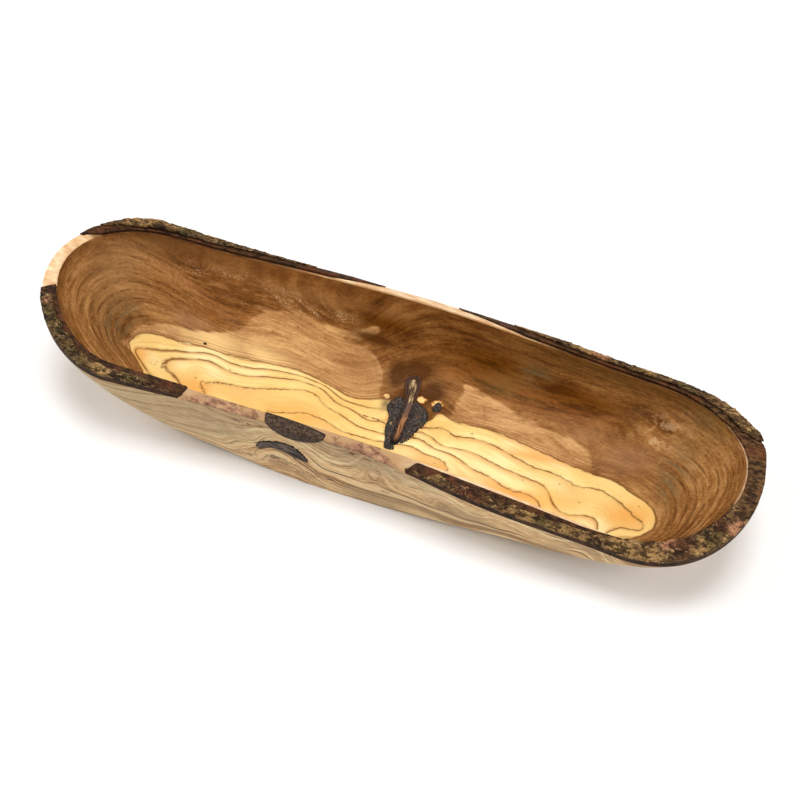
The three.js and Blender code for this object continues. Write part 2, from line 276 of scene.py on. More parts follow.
def mesh_object(name, points, faces, fields):
    """A piece from millimetre points, with its named fields, riding on the bowl's one body."""
    mesh = bpy.data.meshes.new(name)
    mesh.from_pydata(to_frame(points).tolist(), [], [list(map(int, f)) for f in faces])
    for key, values in fields.items():
        layer = mesh.attributes.new(key, "FLOAT", "POINT")
        layer.data.foreach_set("value", np.asarray(values, np.float32))
    mesh.polygons.foreach_set("use_smooth", [True] * len(mesh.polygons))
    mesh.update()
    piece = bpy.data.objects.new(name, mesh)
    bpy.context.scene.collection.objects.link(piece)
    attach(piece, "root")
    return piece


# Materials

def srgb(red, green, blue):
    """A screen colour, 0 to 255, as the shader's linear colour."""
    return tuple((v / 255 / 12.92 if v <= 10 else ((v / 255 + 0.055) / 1.055) ** 2.4)
                 for v in (red, green, blue)) + (1,)


class Paint:
    """One material, with short names for its shader nodes. Sizes are in millimetres."""

    def __init__(self, name):
        self.material = bpy.data.materials.new(name)
        self.material.use_nodes = True
        self.tree = self.material.node_tree
        self.tree.nodes.clear()
        coordinates = self.tree.nodes.new("ShaderNodeTexCoord")
        self.place = self.stretch(coordinates.outputs["Object"], (1 / MM,) * 3)
        split = self.node("SeparateXYZ", {0: self.place})
        self.x, self.y, self.z = split.outputs

    def node(self, kind, inputs, **settings):
        made = self.tree.nodes.new("ShaderNode" + kind)
        for key, value in settings.items():
            setattr(made, key, value)
        for key, value in inputs.items():
            if isinstance(value, bpy.types.NodeSocket):
                self.tree.links.new(value, made.inputs[key])
            else:
                made.inputs[key].default_value = value
        return made

    def stretch(self, vector, factors):
        return self.node("VectorMath", {0: vector, 1: factors}, operation="MULTIPLY").outputs[0]

    def field(self, name):
        return self.node("Attribute", {}, attribute_name=name).outputs["Fac"]

    def vector(self, x, y, z):
        return self.node("CombineXYZ", {0: x, 1: y, 2: z}).outputs[0]

    def math(self, operation, a, b=0.0, c=0.0):
        return self.node("Math", {0: a, 1: b, 2: c}, operation=operation).outputs[0]

    def times(self, *factors):
        total = factors[0]
        for factor in factors[1:]:
            total = self.math("MULTIPLY", total, factor)
        return total

    def plus(self, a, b):
        return self.math("ADD", a, b)

    def minus(self, a, b):
        return self.math("SUBTRACT", a, b)

    def band(self, value, low, high):
        """0 where the value is at low, 1 where it is at high, smooth between."""
        limits = {"Value": value, "From Min": low, "From Max": high}
        return self.node("MapRange", limits, interpolation_type="SMOOTHSTEP").outputs[0]

    def noise(self, size, detail=3, roughness=0.5, distortion=0, squash=None, place=None):
        """Soft noise with lumps of a size. squash draws them out along an axis where it is below 1."""
        place = place or (self.stretch(self.place, squash) if squash else self.place)
        inputs = {"Vector": place, "Scale": 1 / size, "Detail": detail}
        inputs |= {"Roughness": roughness, "Distortion": distortion}
        return self.node("TexNoise", inputs).outputs["Fac"]

    def grain(self, ring, along, across, detail=4):
        """Streaks that keep to the growth rings."""
        flow = self.vector(self.times(self.x, along), self.times(self.y, along), self.times(ring, across))
        return self.noise(1, detail, 0.6, place=flow)

    def tone(self, *shares, start=0.0):
        """A weighted sum of values, each given with its share."""
        total = start
        for value, share in shares:
            total = self.math("MULTIPLY_ADD", value, share, total)
        return total

    def cells(self, size, squash):
        """How far it is to the nearest of many scattered points, in shares of a size."""
        inputs = {"Vector": self.stretch(self.place, squash), "Scale": 1 / size}
        return self.node("TexVoronoi", inputs).outputs[0]

    def edge(self, distance, width):
        """1 on the line where a distance is 0, fading over so many millimetres."""
        return self.band(self.math("ABSOLUTE", distance), width, width * 0.3)

    def mix(self, below, above, *shares):
        """A colour over another, by the product of the shares. A tuple is a screen colour."""
        below, above = (srgb(*c) if isinstance(c, tuple) else c for c in (below, above))
        inputs = {0: self.times(*shares), 6: below, 7: above}
        return self.node("Mix", inputs, data_type="RGBA").outputs[2]

    def layers(self, colour, *layers):
        """A colour with others laid over it in turn, each given with its shares."""
        for above, *shares in layers:
            colour = self.mix(colour, above, *shares)
        return colour

    def ramp(self, value, *stops):
        """Screen colours in a row, each with the value that it belongs to."""
        made = self.node("ValToRGB", {0: value})
        elements = made.color_ramp.elements
        for place, colour in stops[2:]:
            elements.new(place)
        for element, (place, colour) in zip(elements, sorted(stops)):
            element.position = place
            element.color = srgb(*colour)
        return made.outputs[0]

    def finish(self, colour, roughness, height, relief, shine):
        """Joins colour, roughness, a relief of so many millimetres and the shine to the surface."""
        bump = self.node("Bump", {"Height": height, "Distance": relief * MM, "Strength": 1})
        inputs = {"Base Color": colour, "Roughness": roughness, "Normal": bump.outputs[0]}
        shader = self.node("BsdfPrincipled", inputs | {"Specular IOR Level": shine})
        self.node("OutputMaterial", {"Surface": shader.outputs[0]})
        return self.material


def grain_lines(paint, ring, rate, every, width):
    """Thin lines of a width in millimetres where the ring field passes each whole step."""
    steps = paint.math("DIVIDE", ring, every)
    off = paint.math("ABSOLUTE", paint.minus(steps, paint.math("ROUND", steps)))
    distance = paint.math("DIVIDE", paint.times(off, every), rate)
    return paint.minus(1, paint.band(distance, width * 0.25, width))


def wandering_ring(paint, amount, size):
    """The ring field, shifted sideways by so many millimetres of slow noise."""
    rate = paint.field("ring_rate")
    wander = paint.minus(paint.noise(size, 3, squash=(0.4, 1, 1)), 0.5)
    return paint.plus(paint.field("ring"), paint.times(wander, paint.times(rate, amount))), rate


def brown_wood(p, tone, fine):
    """The wall of the hollow: brown, darker on the right, beige at the upper left, with stains."""
    umber = p.mix((74, 37, 0), (106, 60, 4), p.band(tone, 0.44, 0.56))
    return p.layers(
        p.ramp(tone, (0.42, (94, 55, 22)), (0.5, (146, 96, 48)), (0.58, (188, 136, 80))),
        ((166, 124, 78), p.field("beige"), 0.45),
        (umber, p.field("umber")),
        ((146, 82, 34), p.field("rust"), p.band(fine, 0.44, 0.58), 0.6),
        ((112, 88, 44), p.field("olive"), 0.5),
        ((158, 112, 78), p.field("purple"), 0.6),
        ((96, 88, 62), p.field("stain"), p.band(fine, 0.4, 0.56), 0.75),
        ((206, 168, 118), p.field("blotch"), p.band(p.noise(6, 4, 0.65), 0.5, 0.62), 0.7),
    )


def tan_wood(p, tone, fine, heart, tan_in):
    """The tongue and the flame of lighter wood between the cream and the brown."""
    dull = p.mix((160, 112, 64), (212, 162, 108), p.band(tone, 0.43, 0.57))
    parallel = grain_lines(p, p.plus(heart, p.times(fine, 3)), 1, 2.1, 0.8)
    return p.layers(
        p.ramp(tone, (0.42, (144, 96, 52)), (0.5, (182, 133, 82)), (0.58, (216, 169, 110))),
        ((250, 208, 140), p.field("light"), 0.9),
        (dull, p.field("dull")),
        ((150, 102, 56), p.field("tongue"), 0.5),
        ((146, 90, 48), grain_lines(p, tan_in, 1, 2.7, 0.7), p.field("tongue"), 0.2),
        ((146, 88, 52), parallel, p.band(heart, -9, -2), 0.4),
    )


def cream_wood(p, ring, rate, broad, fine):
    """The heart of the log: cream, with a thin dark line at each growth ring and orange inside it."""
    cloud = p.noise(22, 4, squash=(0.5, 1, 1))
    inside = p.band(p.math("FRACT", ring), 0.55, 0)
    streaks = p.band(p.grain(ring, 0.03, 5, 4), 0.5, 0.62)
    threads = grain_lines(p, p.plus(ring, p.times(fine, 0.5)), rate, 0.37, 0.35)
    shaky = p.plus(ring, p.times(p.minus(p.noise(3, 4, 0.6), 0.5), 0.2))
    faint = p.band(p.noise(9, 3), 0.3, 0.56)
    blurred = p.plus(0.25, p.times(p.field("broad_arcs"), 0.6))
    blurred = p.times(grain_lines(p, shaky, rate, 1, 1.6), blurred)
    lines = p.plus(grain_lines(p, shaky, rate, 1, 0.5), blurred)
    lines = p.times(lines, p.band(ring, -0.5, 0.5))
    return p.layers(
        p.ramp(cloud, (0.38, (240, 197, 118)), (0.5, (247, 214, 138)), (0.62, (253, 232, 168))),
        ((238, 162, 74), p.field("amber"), 0.8, p.band(broad, 0.3, 0.55)),
        ((224, 158, 82), inside, p.band(cloud, 0.38, 0.62), 0.65),
        ((228, 168, 96), streaks, 0.25),
        ((214, 146, 72), threads, p.band(fine, 0.5, 0.6), 0.4),
        ((132, 78, 32), p.math("MINIMUM", lines, 1), p.plus(0.35, p.times(faint, 0.55))),
    )


def oiled_heartwood():
    """The hollow: cream heartwood with dark rings, tan and brown wood round it, a dark halo round the
    knot, stains, and painted highlights of sheen.
    """
    p = Paint("oiled_heartwood")
    ring, rate = wandering_ring(p, 1.4, 12)
    broad, fine = p.grain(ring, 0.02, 0.5, 3), p.grain(ring, 0.04, 2.2, 5)
    hair = p.grain(ring, 0.11, 7, 4)
    smudge = p.noise(8, 4, 0.6, squash=(0.45, 1, 1))
    mottle = p.noise(1.2, 4, 0.75, squash=(0.5, 1, 1))
    tone = p.tone((broad, 0.24), (fine, 0.22), (hair, 0.18), (smudge, 0.16), (mottle, 0.2))
    pits = p.band(p.noise(0.9, 3, 0.8, squash=(0.35, 1, 1)), 0.56, 0.66)
    arcs = grain_lines(p, ring, rate, 0.9, 1.1)
    dark = p.band(p.grain(ring, 0.006, 2.2, 3), 0.55, 0.68)
    heart, tan_in = p.field("heart"), p.field("tan")
    edge_of_tan = p.tone((fine, 5), (smudge, 5), (tan_in, 1), start=-5)
    edge_of_cream = p.tone((p.noise(5, 3), 2.4), (heart, 1), start=-1.2)
    halo = p.times(p.field("halo"), p.tone((fine, 1.4), start=0.7))
    crumbled = p.plus(p.field("crumbs"), p.noise(2, 4, 0.65))
    glint_specks = p.band(p.noise(0.8, 3, 0.7, squash=(0.7, 1, 1)), 0.52, 0.6)
    pores = p.band(p.cells(5.5, (0.45, 1, 1)), 0.08, 0.05)
    colour = p.layers(
        brown_wood(p, tone, fine),
        ((76, 42, 18), pits, 0.35),
        ((84, 44, 16), arcs, p.band(smudge, 0.45, 0.6), p.field("ends"), 0.7),
        ((84, 46, 18), dark, p.field("streaks"), 0.6),
        (tan_wood(p, tone, fine, heart, tan_in), p.band(edge_of_tan, -1.1, 1.1)),
        ((214, 160, 110), p.edge(tan_in, 1.1), p.field("tongue"), 0.5),
        (cream_wood(p, ring, rate, broad, fine), p.band(edge_of_cream, -0.3, 0.3)),
        ((112, 64, 28), p.edge(edge_of_cream, 0.75), 0.7),
        ((74, 38, 2), p.math("MINIMUM", halo, 1), 0.9),
        ((176, 110, 48), p.band(crumbled, 0.94, 1.04)),
        ((240, 202, 132), p.band(crumbled, 1.1, 1.2)),
        ((96, 72, 56), p.field("smear"), 0.8),
        ((34, 20, 12), p.band(p.field("pins"), 0.4, 0.6)),
        # painted highlight: pale glints of sheen laid into the colour of the far wall
        ((240, 214, 170), glint_specks, p.field("painted_glints"), p.band(fine, 0.42, 0.55), 0.75),
        ((78, 44, 20), pores, 0.7),
    )
    roughness = p.plus(0.38, p.times(mottle, 0.2))
    return p.finish(colour, roughness, p.tone((fine, 0.5), (mottle, 0.5)), 0.1, 0.06)


def sanded_outside():
    """The outer wall: beige wood in long streaks, dark veins and a curly figure near the middle."""
    p = Paint("sanded_outside")
    curl = p.field("curl")
    ring, rate = wandering_ring(p, 0.9, 26)
    ripple = p.noise(7, 4, 0.6, 0.8, squash=(0.7, 1, 1.3))
    ring = p.plus(ring, p.times(p.minus(ripple, 0.5), curl, 3))
    broad, fine = p.grain(ring, 0.004, 1.4, 4), p.grain(ring, 0.012, 6, 4)
    mottle = p.noise(1.8, 4, 0.7, squash=(0.3, 1, 1))
    tone = p.tone((broad, 0.46), (fine, 0.34), (mottle, 0.2))
    cloud = p.noise(30, 3, squash=(0.4, 1, 1))
    figure = p.ramp(fine, (0.42, (255, 220, 168)), (0.5, (206, 156, 108)), (0.58, (122, 80, 50)))
    quiet = p.mix((176, 146, 108), (214, 182, 138), p.band(mottle, 0.4, 0.6))
    broken = p.band(p.noise(12, 2, squash=(0.5, 1, 1)), 0.3, 0.5)
    veins = p.times(grain_lines(p, ring, rate, 1, 0.8), broken)
    wood = p.layers(
        p.ramp(tone, (0.43, (146, 106, 64)), (0.5, (230, 184, 128)), (0.57, (255, 232, 178))),
        ((164, 138, 102), p.band(cloud, 0.45, 0.62), 0.55),
        ((252, 216, 164), p.field("pale"), p.band(broad, 0.4, 0.55), 0.85),
        (figure, curl, 0.8),
        (quiet, p.field("calm"), 0.65),
        ((66, 40, 22), veins, p.plus(0.04, p.times(p.field("veined"), 0.9))),
        ((120, 76, 44), p.band(p.field("scrap"), 0.3, 0.9), p.band(mottle, 0.5, 0.58)),
    )
    roughness = p.plus(0.45, p.times(mottle, 0.2))
    return p.finish(wood, roughness, p.tone((fine, 0.5), (mottle, 0.5)), 0.1, 0.2)


def pale_sapwood():
    """The rim's own wood: pale where the bark is gone, and brown like the hollow elsewhere."""
    p = Paint("pale_sapwood")
    fibres = p.noise(2.4, 4, 0.6, squash=(0.25, 0.6, 1))
    pale = p.ramp(fibres, (0.35, (222, 172, 122)), (0.5, (240, 198, 150)), (0.65, (252, 222, 180)))
    worn = p.mix((190, 148, 102), (146, 102, 68), p.band(p.noise(5, 4, 0.65), 0.48, 0.62))
    pale = p.mix(pale, worn, p.field("worn"))
    brown = p.ramp(fibres, (0.35, (92, 56, 28)), (0.65, (160, 116, 72)))
    return p.finish(p.mix(brown, pale, p.field("bare")), 0.5, fibres, 0.1, 0.3)


# The carved wood

# Edge of the cream heartwood, as plan points from the left end round the far side and the knot.
CREAM_EDGE = ((-130, -38), (-137, -29), (-143, -25), (-148, -21), (-150, -14), (-147, -7), (-142, -3),
              (-133, 0), (-117, 5), (-104, 7), (-92, 10), (-79, 13), (-66, 15), (-52, 14), (-40, 11),
              (-27, 8), (-18, 9), (-8, 13), (8, 12), (19, 5), (25, 14), (33, 12), (47, 12), (60, 12),
              (76, 8), (91, 4), (104, 0), (118, -4), (130, -7), (143, -15), (151, -21), (155, -28),
              (154, -35), (146, -41), (130, -46), (100, -47), (0, -47), (-60, -47), (-110, -45))
# Edges of the tan wood outside it: the long tongue left of the knot, and the flame right of it.
TAN_EDGES = (
    ((-149, -22), (-151, -12), (-150, -3), (-137, 8), (-121, 14), (-112, 19), (-105, 25), (-102, 30),
     (-98, 35), (-95, 38), (-89, 41), (-80, 43), (-64, 43), (-47, 43), (-34, 45), (-24, 48), (-24, 45),
     (-33, 42), (-43, 40), (-35, 39), (-26, 37), (-19, 33), (-14, 26), (-13, 18), (-14, 8), (-40, 0),
     (-100, -10)),
    ((24, 8), (31, 13), (32, 21), (34, 28), (33, 34), (36, 35), (40, 34), (50, 31), (58, 28), (68, 26),
     (79, 24), (93, 19), (107, 13), (114, 6), (112, -6), (60, 0)),
)

# Lines of the growth rings inside the cream: how many rings in, and a few plan points of each.
FLOOR_RINGS = (
    (1, ((-132, -29), (-142, -24), (-145, -21), (-143, -17), (-132, -10), (-121, -3), (-106, 3),
         (-86, 6.5), (-70, 10))),
    (2, ((-119, -24), (-128, -18), (-128, -14), (-119, -6), (-102, -2), (-79, 3), (-58, 8), (-42, 7),
         (-23, 0), (-11, -4), (-5, -3))),
    (3, ((-104, -22), (-106, -20), (-105, -17), (-97, -12), (-74, -4), (-58, -1), (-42, -1.5), (-23, -8),
         (-7, -11), (0, -11))),
    (4, ((-64, -19), (-53, -15), (-42, -13), (-32, -14), (-9, -17), (1, -16))),
    (1, ((30, 6), (46, 4), (60, 1.5), (73, -1.5), (86, -6), (104, -10), (122, -14), (136, -21),
         (147, -30), (150, -35))),
    (2, ((20, -2), (33, -7), (53, -6), (67, -10), (80, -14), (94, -17), (101, -25), (115, -31),
         (128, -37))),
    (3, ((34, -11), (53, -16), (64, -19), (77, -24), (95, -29))),
    (2.5, ((100, -38), (112, -41), (124, -43))),
    # The near wall is out of the photograph's sight: the same rings come back up it.
    (4, ((-60, -29), (-30, -27), (0, -25), (30, -24))),
    (2, ((-95, -38), (-50, -39), (0, -38), (50, -38), (90, -38))),
)
RIM_LEVEL = -9

FLOOR_MARKS = {
    "stain": (((-159, -8, 38), (9, 15, 9)), ((158, 2, 33), (8, 18, 9)), ((72, 45, 27), (9, 14, 5))),
    # where the painted highlights of the sanded wall's sheen lie
    "painted_glints": (((-122, 44, 36), (26, 9, 5)), ((-88, 46, 30), (26, 9, 5)), ((-60, 47, 28), (18, 9, 3))),
    "umber": (((45, 44, 26), (46, 18, 14)), ((95, 40, 23), (46, 16, 8)), ((-20, 48, 30), (26, 12, 7))),
    "beige": (((-140, 46, 52), (60, 14, 9)), ((-60, 54, 54), (60, 14, 7)), ((-175, 20, 48), (14, 30, 14)),
              ((-60, 46, 36), (34, 10, 5))),
    "rust": (((-135, 40, 34), (40, 10, 7)), ((-118, 30, 22), (24, 8, 5)), ((60, 36, 18), (50, 10, 7))),
    "olive": (((103, 49, 42), (60, 12, 9)), ((163, 38, 46), (24, 22, 10)), ((55, 40, 18), (14, 8, 5))),
    "purple": (((130, 8, 24), (22, 12, 9)), ((-130, 16, 24), (24, 6, 5)), ((100, 22, 18), (26, 8, 5))),
    "blotch": (((145, 26, 30), (14, 12, 7)),),
    "streaks": (((-60, 50, 38), (70, 14, 14)), ((40, 50, 40), (70, 14, 14))),
    "halo": (((5, 34, 16), (11, 8, 8)), ((-5, 30, 13), (7, 11, 8)), ((17, 25, 11), (8, 9, 5)),
             ((-24, 43, 22), (14, 3, 4)), ((8, 20, 11), (12, 8, 5))),
    "light": (((-112, 11, 19), (26, 9, 10)), ((-84, 16, 12), (18, 6, 6))),
    "dull": (((64, 22, 12), (40, 12, 9)),),
    "tongue": (((-26, 24, 13), (18, 16, 9)),),
    "amber": (((-66, -16, 10), (34, 7, 9)), ((-108, -22, 20), (10, 7, 9)), ((-142, -22, 30), (5, 9, 7)),
              ((74, -25, 11), (50, 8, 12)), ((138, -28, 26), (18, 8, 10)), ((85, 1, 12), (24, 4, 5))),
    "broad_arcs": (((-128, -16, 24), (20, 14, 12)),),
    "crumbs": (((12.5, 19, 10), (4, 2.5, 4)), ((22.5, 19, 10), (4, 3.5, 4)), ((-7, 15, 9), (2.5, 2, 4))),
    "smear": (((-6, 10, 9), (2.5, 5, 4)),),
    "pins": (((-116, 7, 19), (1.4, 1.4, 2)), ((47, 7, 9), (0.9, 0.9, 2)), ((52, 6, 9), (0.9, 0.9, 2))),
    "ends": (((-165, 0, 40), (26, 60, 40)), ((172, -6, 40), (30, 60, 40))),
}

# The near wall outside: ring level, then x and height of a few points.
HULL_RINGS = (
    (1.5, ((-90, 46), (-40, 46), (0, 47), (24, 44), (80, 42), (112, 38), (133, 40))),
    (3, ((-100, 24), (0, 34), (34, 36), (55, 37), (76, 37), (96, 33), (120, 34))),
    (4, ((-80, 14), (-75, 16), (-66, 23), (-59, 25), (-50, 35), (-40, 36), (-29, 31), (-24, 24),
         (-16, 20), (-6, 20), (3, 20), (11, 23), (22, 21), (41, 20), (60, 21), (80, 22), (100, 22),
         (120, 23))),
    (5, ((-71, 7), (-64, 12), (-60, 15), (-58, 20), (-35, 21), (-28, 16), (-21, 11), (-16, 12), (-10, 10),
         (2, 10), (14, 11), (40, 14), (80, 18), (110, 17))),
    (6, ((-39, 17), (-32, 12), (-26, 9), (-21, 6), (0, 5), (40, 8), (100, 10))),
)
HULL_LEVELS = 7
NEAR_STATIONS = (11.5, 16.8)

HULL_MARKS = {
    "calm": (((6, -52, 39), (36, 20, 8)), ((-92, -50, 34), (32, 20, 9))),
    "curl": (((-43, -51, 13), (13, 20, 6)), ((-30, -51, 9), (12, 20, 4)), ((-64, -51, 11), (6, 20, 4))),
    "veined": (((-15, -51, 20), (55, 20, 12)), ((-68, -50, 18), (14, 20, 9)),
               ((70, -52, 24), (60, 20, 5))),
    "pale": (((-70, -50, 6), (70, 20, 9)), ((60, -54, 14), (90, 20, 7)), ((-50, -50, 12), (22, 20, 8))),
    "scrap": (((-14, -51, 12), (6, 20, 1.6)), ((-24, -51, 10), (4, 20, 1.5)),
              ((16, -51, 18), (4, 20, 1.5)), ((-60, -50, 44), (16, 20, 3)), ((2, -50, 43), (16, 20, 3))),
}

# Which stations of the rim show their own wood, and where that is worn and stained.
BARE_RIM = ((0, 0.35), (1, 0.1), (1.4, 0.5), (2.4, 0.5), (2.8, 0), (4.8, 0), (5.1, 1), (6.9, 1), (7.3, 0),
            (9.44, 0), (9.5, 1), (10.5, 1), (10.56, 0), (12.4, 0), (12.55, 1), (15.9, 1), (16, 0.35))
WORN_RIM = ((0, 0), (12.4, 0), (12.7, 1), (14.3, 1), (14.6, 0), (16, 0))


def near_wall():
    """Points all over the outer wall on the near side."""
    t, s = np.meshgrid(np.linspace(*NEAR_STATIONS, 270), np.linspace(0, 1, 80), indexing="ij")
    return hull_point(t, s).reshape(-1, 3)


def nearest(points, axes, places):
    """For each place on two of the axes, the point nearest to it."""
    return [points[np.argmin(np.hypot(*(points[:, axes] - place).T))] for place in places]


def hollow_ring_field(hollow):
    """Level 0 on the edge of the cream, more inside it, and less up the wall to the rim."""
    flat = hollow.reshape(-1, 3)
    known, levels = [], []
    for level, line in ((0, CREAM_EDGE[1:-4]), *FLOOR_RINGS):
        known += nearest(flat, [0, 1], line)
        levels += [level] * len(line)
    stops = np.arange(STATIONS)
    known += list(hollow_point(stops, np.ones(STATIONS)))
    levels += [RIM_LEVEL] * STATIONS
    return smooth_field(known, levels, flat).reshape(hollow.shape[:2])


def hull_ring_field(hull):
    flat, wall = hull.reshape(-1, 3), near_wall()
    known, levels = [], []
    for level, line in HULL_RINGS:
        known += nearest(wall, [0, 2], line)
        levels += [level] * len(line)
    everywhere, far_side = np.arange(STATIONS), np.arange(1, 12)
    for s, stops in ((0.02, everywhere), (0.5, far_side), (1, everywhere)):
        known += list(hull_point(stops, np.full(len(stops), s)))
        levels += [HULL_LEVELS * (1 - s)] * len(stops)
    return smooth_field(known, levels, flat).reshape(hull.shape[:2])


def marks_on(points, marks):
    """Each named mark as one soft field: the strongest of its blots."""
    return {name: np.max([blot(points, *b) for b in blots], axis=0) for name, blots in marks.items()}


def rings_of(at, values, stops):
    return np.stack([at(stops, np.full(len(stops), v)) for v in values])


def rim_rows(stops):
    """The rim band from the hull to the hollow, with a rounded arris on each side."""
    width = rim_width(stops)
    turns = np.linspace(0, math.pi / 2, ARRIS_ROWS)
    corner = [(ARRIS * (1 - math.cos(a)) / width, ARRIS * (math.sin(a) - 1)) for a in turns]
    rows = [rim_point(stops, 1 - inset, lift) for inset, lift in corner]
    for share in np.linspace(0, 1, RIM_ROWS + 2)[1:-1]:
        rows.append(rim_point(stops, blend(1 - ARRIS / width, ARRIS / width, share), 0))
    rows += [rim_point(stops, inset, lift) for inset, lift in corner[::-1]]
    return np.stack(rows)


def wood_grid():
    """The rings of points of the whole carving, from the foot over the rim to the floor."""
    stops = np.arange(RIBS) * STATIONS / RIBS
    middle = 14  # the station whose cross-section is cut into even steps
    hull_steps = even_steps(lambda s: hull_point(np.full(len(s), middle), s), HULL_ROWS + 1)[:-1]
    hollow_steps = even_steps(lambda k: hollow_point(np.full(len(k), middle), k), HOLLOW_ROWS + 1)[:-1]
    foot = rings_of(hull_point, [0], stops)
    foot_middle = np.array([*FOOT[:2], 0])
    sole = [blend(foot_middle, foot[0], share) for share in SOLE_SHARES]
    hull = np.concatenate([sole, rings_of(hull_point, hull_steps, stops)])
    hollow = rings_of(hollow_point, hollow_steps[::-1], stops)
    pan_middle = np.array([*PAN[:2], FLOOR])
    pan = [blend(pan_middle, hollow[-1], share) for share in np.linspace(1, 0, PAN_ROWS + 1)[1:-1]]
    return hull, rim_rows(stops), np.concatenate([hollow, pan])


hull, rim, hollow = wood_grid()
WOOD = np.concatenate([hull, rim, hollow])
HOLLOW_START = len(hull) + len(rim)


def carved_wood():
    rows = len(WOOD)
    points = WOOD.reshape(-1, 3)
    outside = np.concatenate([hull, rim])
    ring = np.concatenate([hull_ring_field(outside), hollow_ring_field(hollow)])
    rates = [steepness(outside, ring[:HOLLOW_START]), steepness(hollow, ring[HOLLOW_START:])]
    rate = np.concatenate(rates)
    fields = {"ring": ring.ravel(), "ring_rate": rate.ravel()}
    fields |= marks_on(points, FLOOR_MARKS | HULL_MARKS)
    plan = points[:, :2]
    fields["heart"] = inside_distance(plan, rounded(CREAM_EDGE, 3))
    fields["tan"] = np.max([inside_distance(plan, rounded(edge, 3)) for edge in TAN_EDGES], axis=0)
    stops = np.tile(np.arange(RIBS) * STATIONS / RIBS, rows)
    fields["bare"] = np.interp(stops, *zip(*BARE_RIM))
    fields["worn"] = np.interp(stops, *zip(*WORN_RIM))
    sole_middle, pan_middle = len(points), len(points) + 1
    sunk = sink_for_inlays(points)
    points = np.vstack([sunk, [[*FOOT[:2], 0], [*PAN[:2], FLOOR]]])
    for name, values in fields.items():
        fields[name] = np.append(values, [values[0], values[-1]])
    faces = grid_faces(rows, RIBS).tolist()
    last = (rows - 1) * RIBS
    for i in range(RIBS):
        j = (i + 1) % RIBS
        faces.append([sole_middle, j, i])
        faces.append([pan_middle, last + i, last + j])
    wood = mesh_object("bowl_wood", points, faces, fields)
    for material in (sanded_outside(), pale_sapwood(), oiled_heartwood()):
        wood.data.materials.append(material)
    kinds = np.zeros(len(faces), int)
    kinds[len(hull) * RIBS:HOLLOW_START * RIBS] = 1
    kinds[HOLLOW_START * RIBS:(rows - 1) * RIBS] = 2
    kinds[(rows - 1) * RIBS + 1::2] = 2
    wood.data.polygons.foreach_set("material_index", kinds)
    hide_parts("bowl_body")


# Inlays: the knot, its pockets of bark, and the sliver in the near wall. The same outlines as in
# the CAD part: plan points, and x and height on the wall.

KNOT_CORE = ((0, 29), (4, 32), (8, 31), (10, 25), (10, 17), (10.5, 9), (10.5, 0),
             (10.5, -12), (8, -16), (5.5, -14), (4.5, -2), (4, 9), (4, 16), (1, 23))
POCKET_LEFT = ((4, 16), (4, 9), (4.5, -2), (5.5, -14), (8, -16), (9, -19), (4, -20),
               (2, -13), (-0.5, -6), (-1, 2), (-4.5, 8), (-3.5, 13), (0, 17))
POCKET_RIGHT = ((10, 17), (10.5, 9), (10.5, 0), (10.5, -12), (12, -13), (15, -8),
                (17, -2), (19.5, 3), (20, 9), (17, 14), (13, 15.5))
PIN_KNOT = ((21, 14.5), (23.5, 14), (25, 16.5), (24.5, 19.5), (22.5, 20.5), (20.8, 18))
SLIVER = ((-58, 23.6), (-54.6, 28.8), (-48, 32), (-41, 33.8), (-35.5, 32), (-32, 28.5), (-28, 22),
          (-34.8, 22.6), (-41, 24.8), (-47, 26), (-52, 25), (-55.7, 22))

RECESS = 3  # how far the wood goes down under an inlay
RECESS_SLOPE = 1.2  # how far in from the edge it has gone all the way down
NEAR_WALL_Y = -40  # the outer wall beyond it is the one with the sliver
INLAY_STEP = 0.5
INLAY_FOOT = 2.4  # how far an inlay goes down into its recess
INLAY_RISE = 0.15  # how far its edge stands over the wood
INLAY_EDGE = 1.1  # how far in it is still level
SLICE_STEP = 7.7  # from the noise of one kind of inlay to that of the next


def sink_for_inlays(points):
    """The wood's points, lowered under the inlays."""
    sunk = points.copy()
    in_hollow = np.arange(len(points)) >= HOLLOW_START * RIBS
    on_near_wall = (np.arange(len(points)) < len(hull) * RIBS) & (points[:, 1] < NEAR_WALL_Y)
    for outline in (KNOT_CORE, POCKET_LEFT, POCKET_RIGHT, PIN_KNOT):
        depth = inside_distance(points[:, :2], rounded(outline)) / RECESS_SLOPE
        low = RECESS * np.clip(depth, 0, 1) * in_hollow
        sunk[:, 2] = np.minimum(sunk[:, 2], points[:, 2] - low)
    depth = inside_distance(points[:, [0, 2]], rounded(SLIVER)) / RECESS_SLOPE
    sunk[:, 1] += RECESS * np.clip(depth, 0, 1) * on_near_wall
    return sunk


def surface_tree():
    points = [Vector(v) for v in WOOD.reshape(-1, 3)]
    return BVHTree.FromPolygons(points, grid_faces(len(WOOD), RIBS).tolist() + pan_fan())


def pan_fan():
    last = (len(WOOD) - 1) * RIBS
    return [[last + i, last + (i + 1) % RIBS, last + RIBS // 2] for i in range(RIBS)]


SURFACE = surface_tree()
RAY_START = 150


def laid_on_floor(place):
    """The point and normal of the wood under a plan point."""
    return SURFACE.ray_cast(Vector((place[0], place[1], RAY_START)), Vector((0, 0, -1)))[:2]


def laid_on_wall(place):
    """The point and normal of the near wall at an x and a height."""
    return SURFACE.ray_cast(Vector((place[0], -RAY_START, place[1])), Vector((0, 1, 0)))[:2]


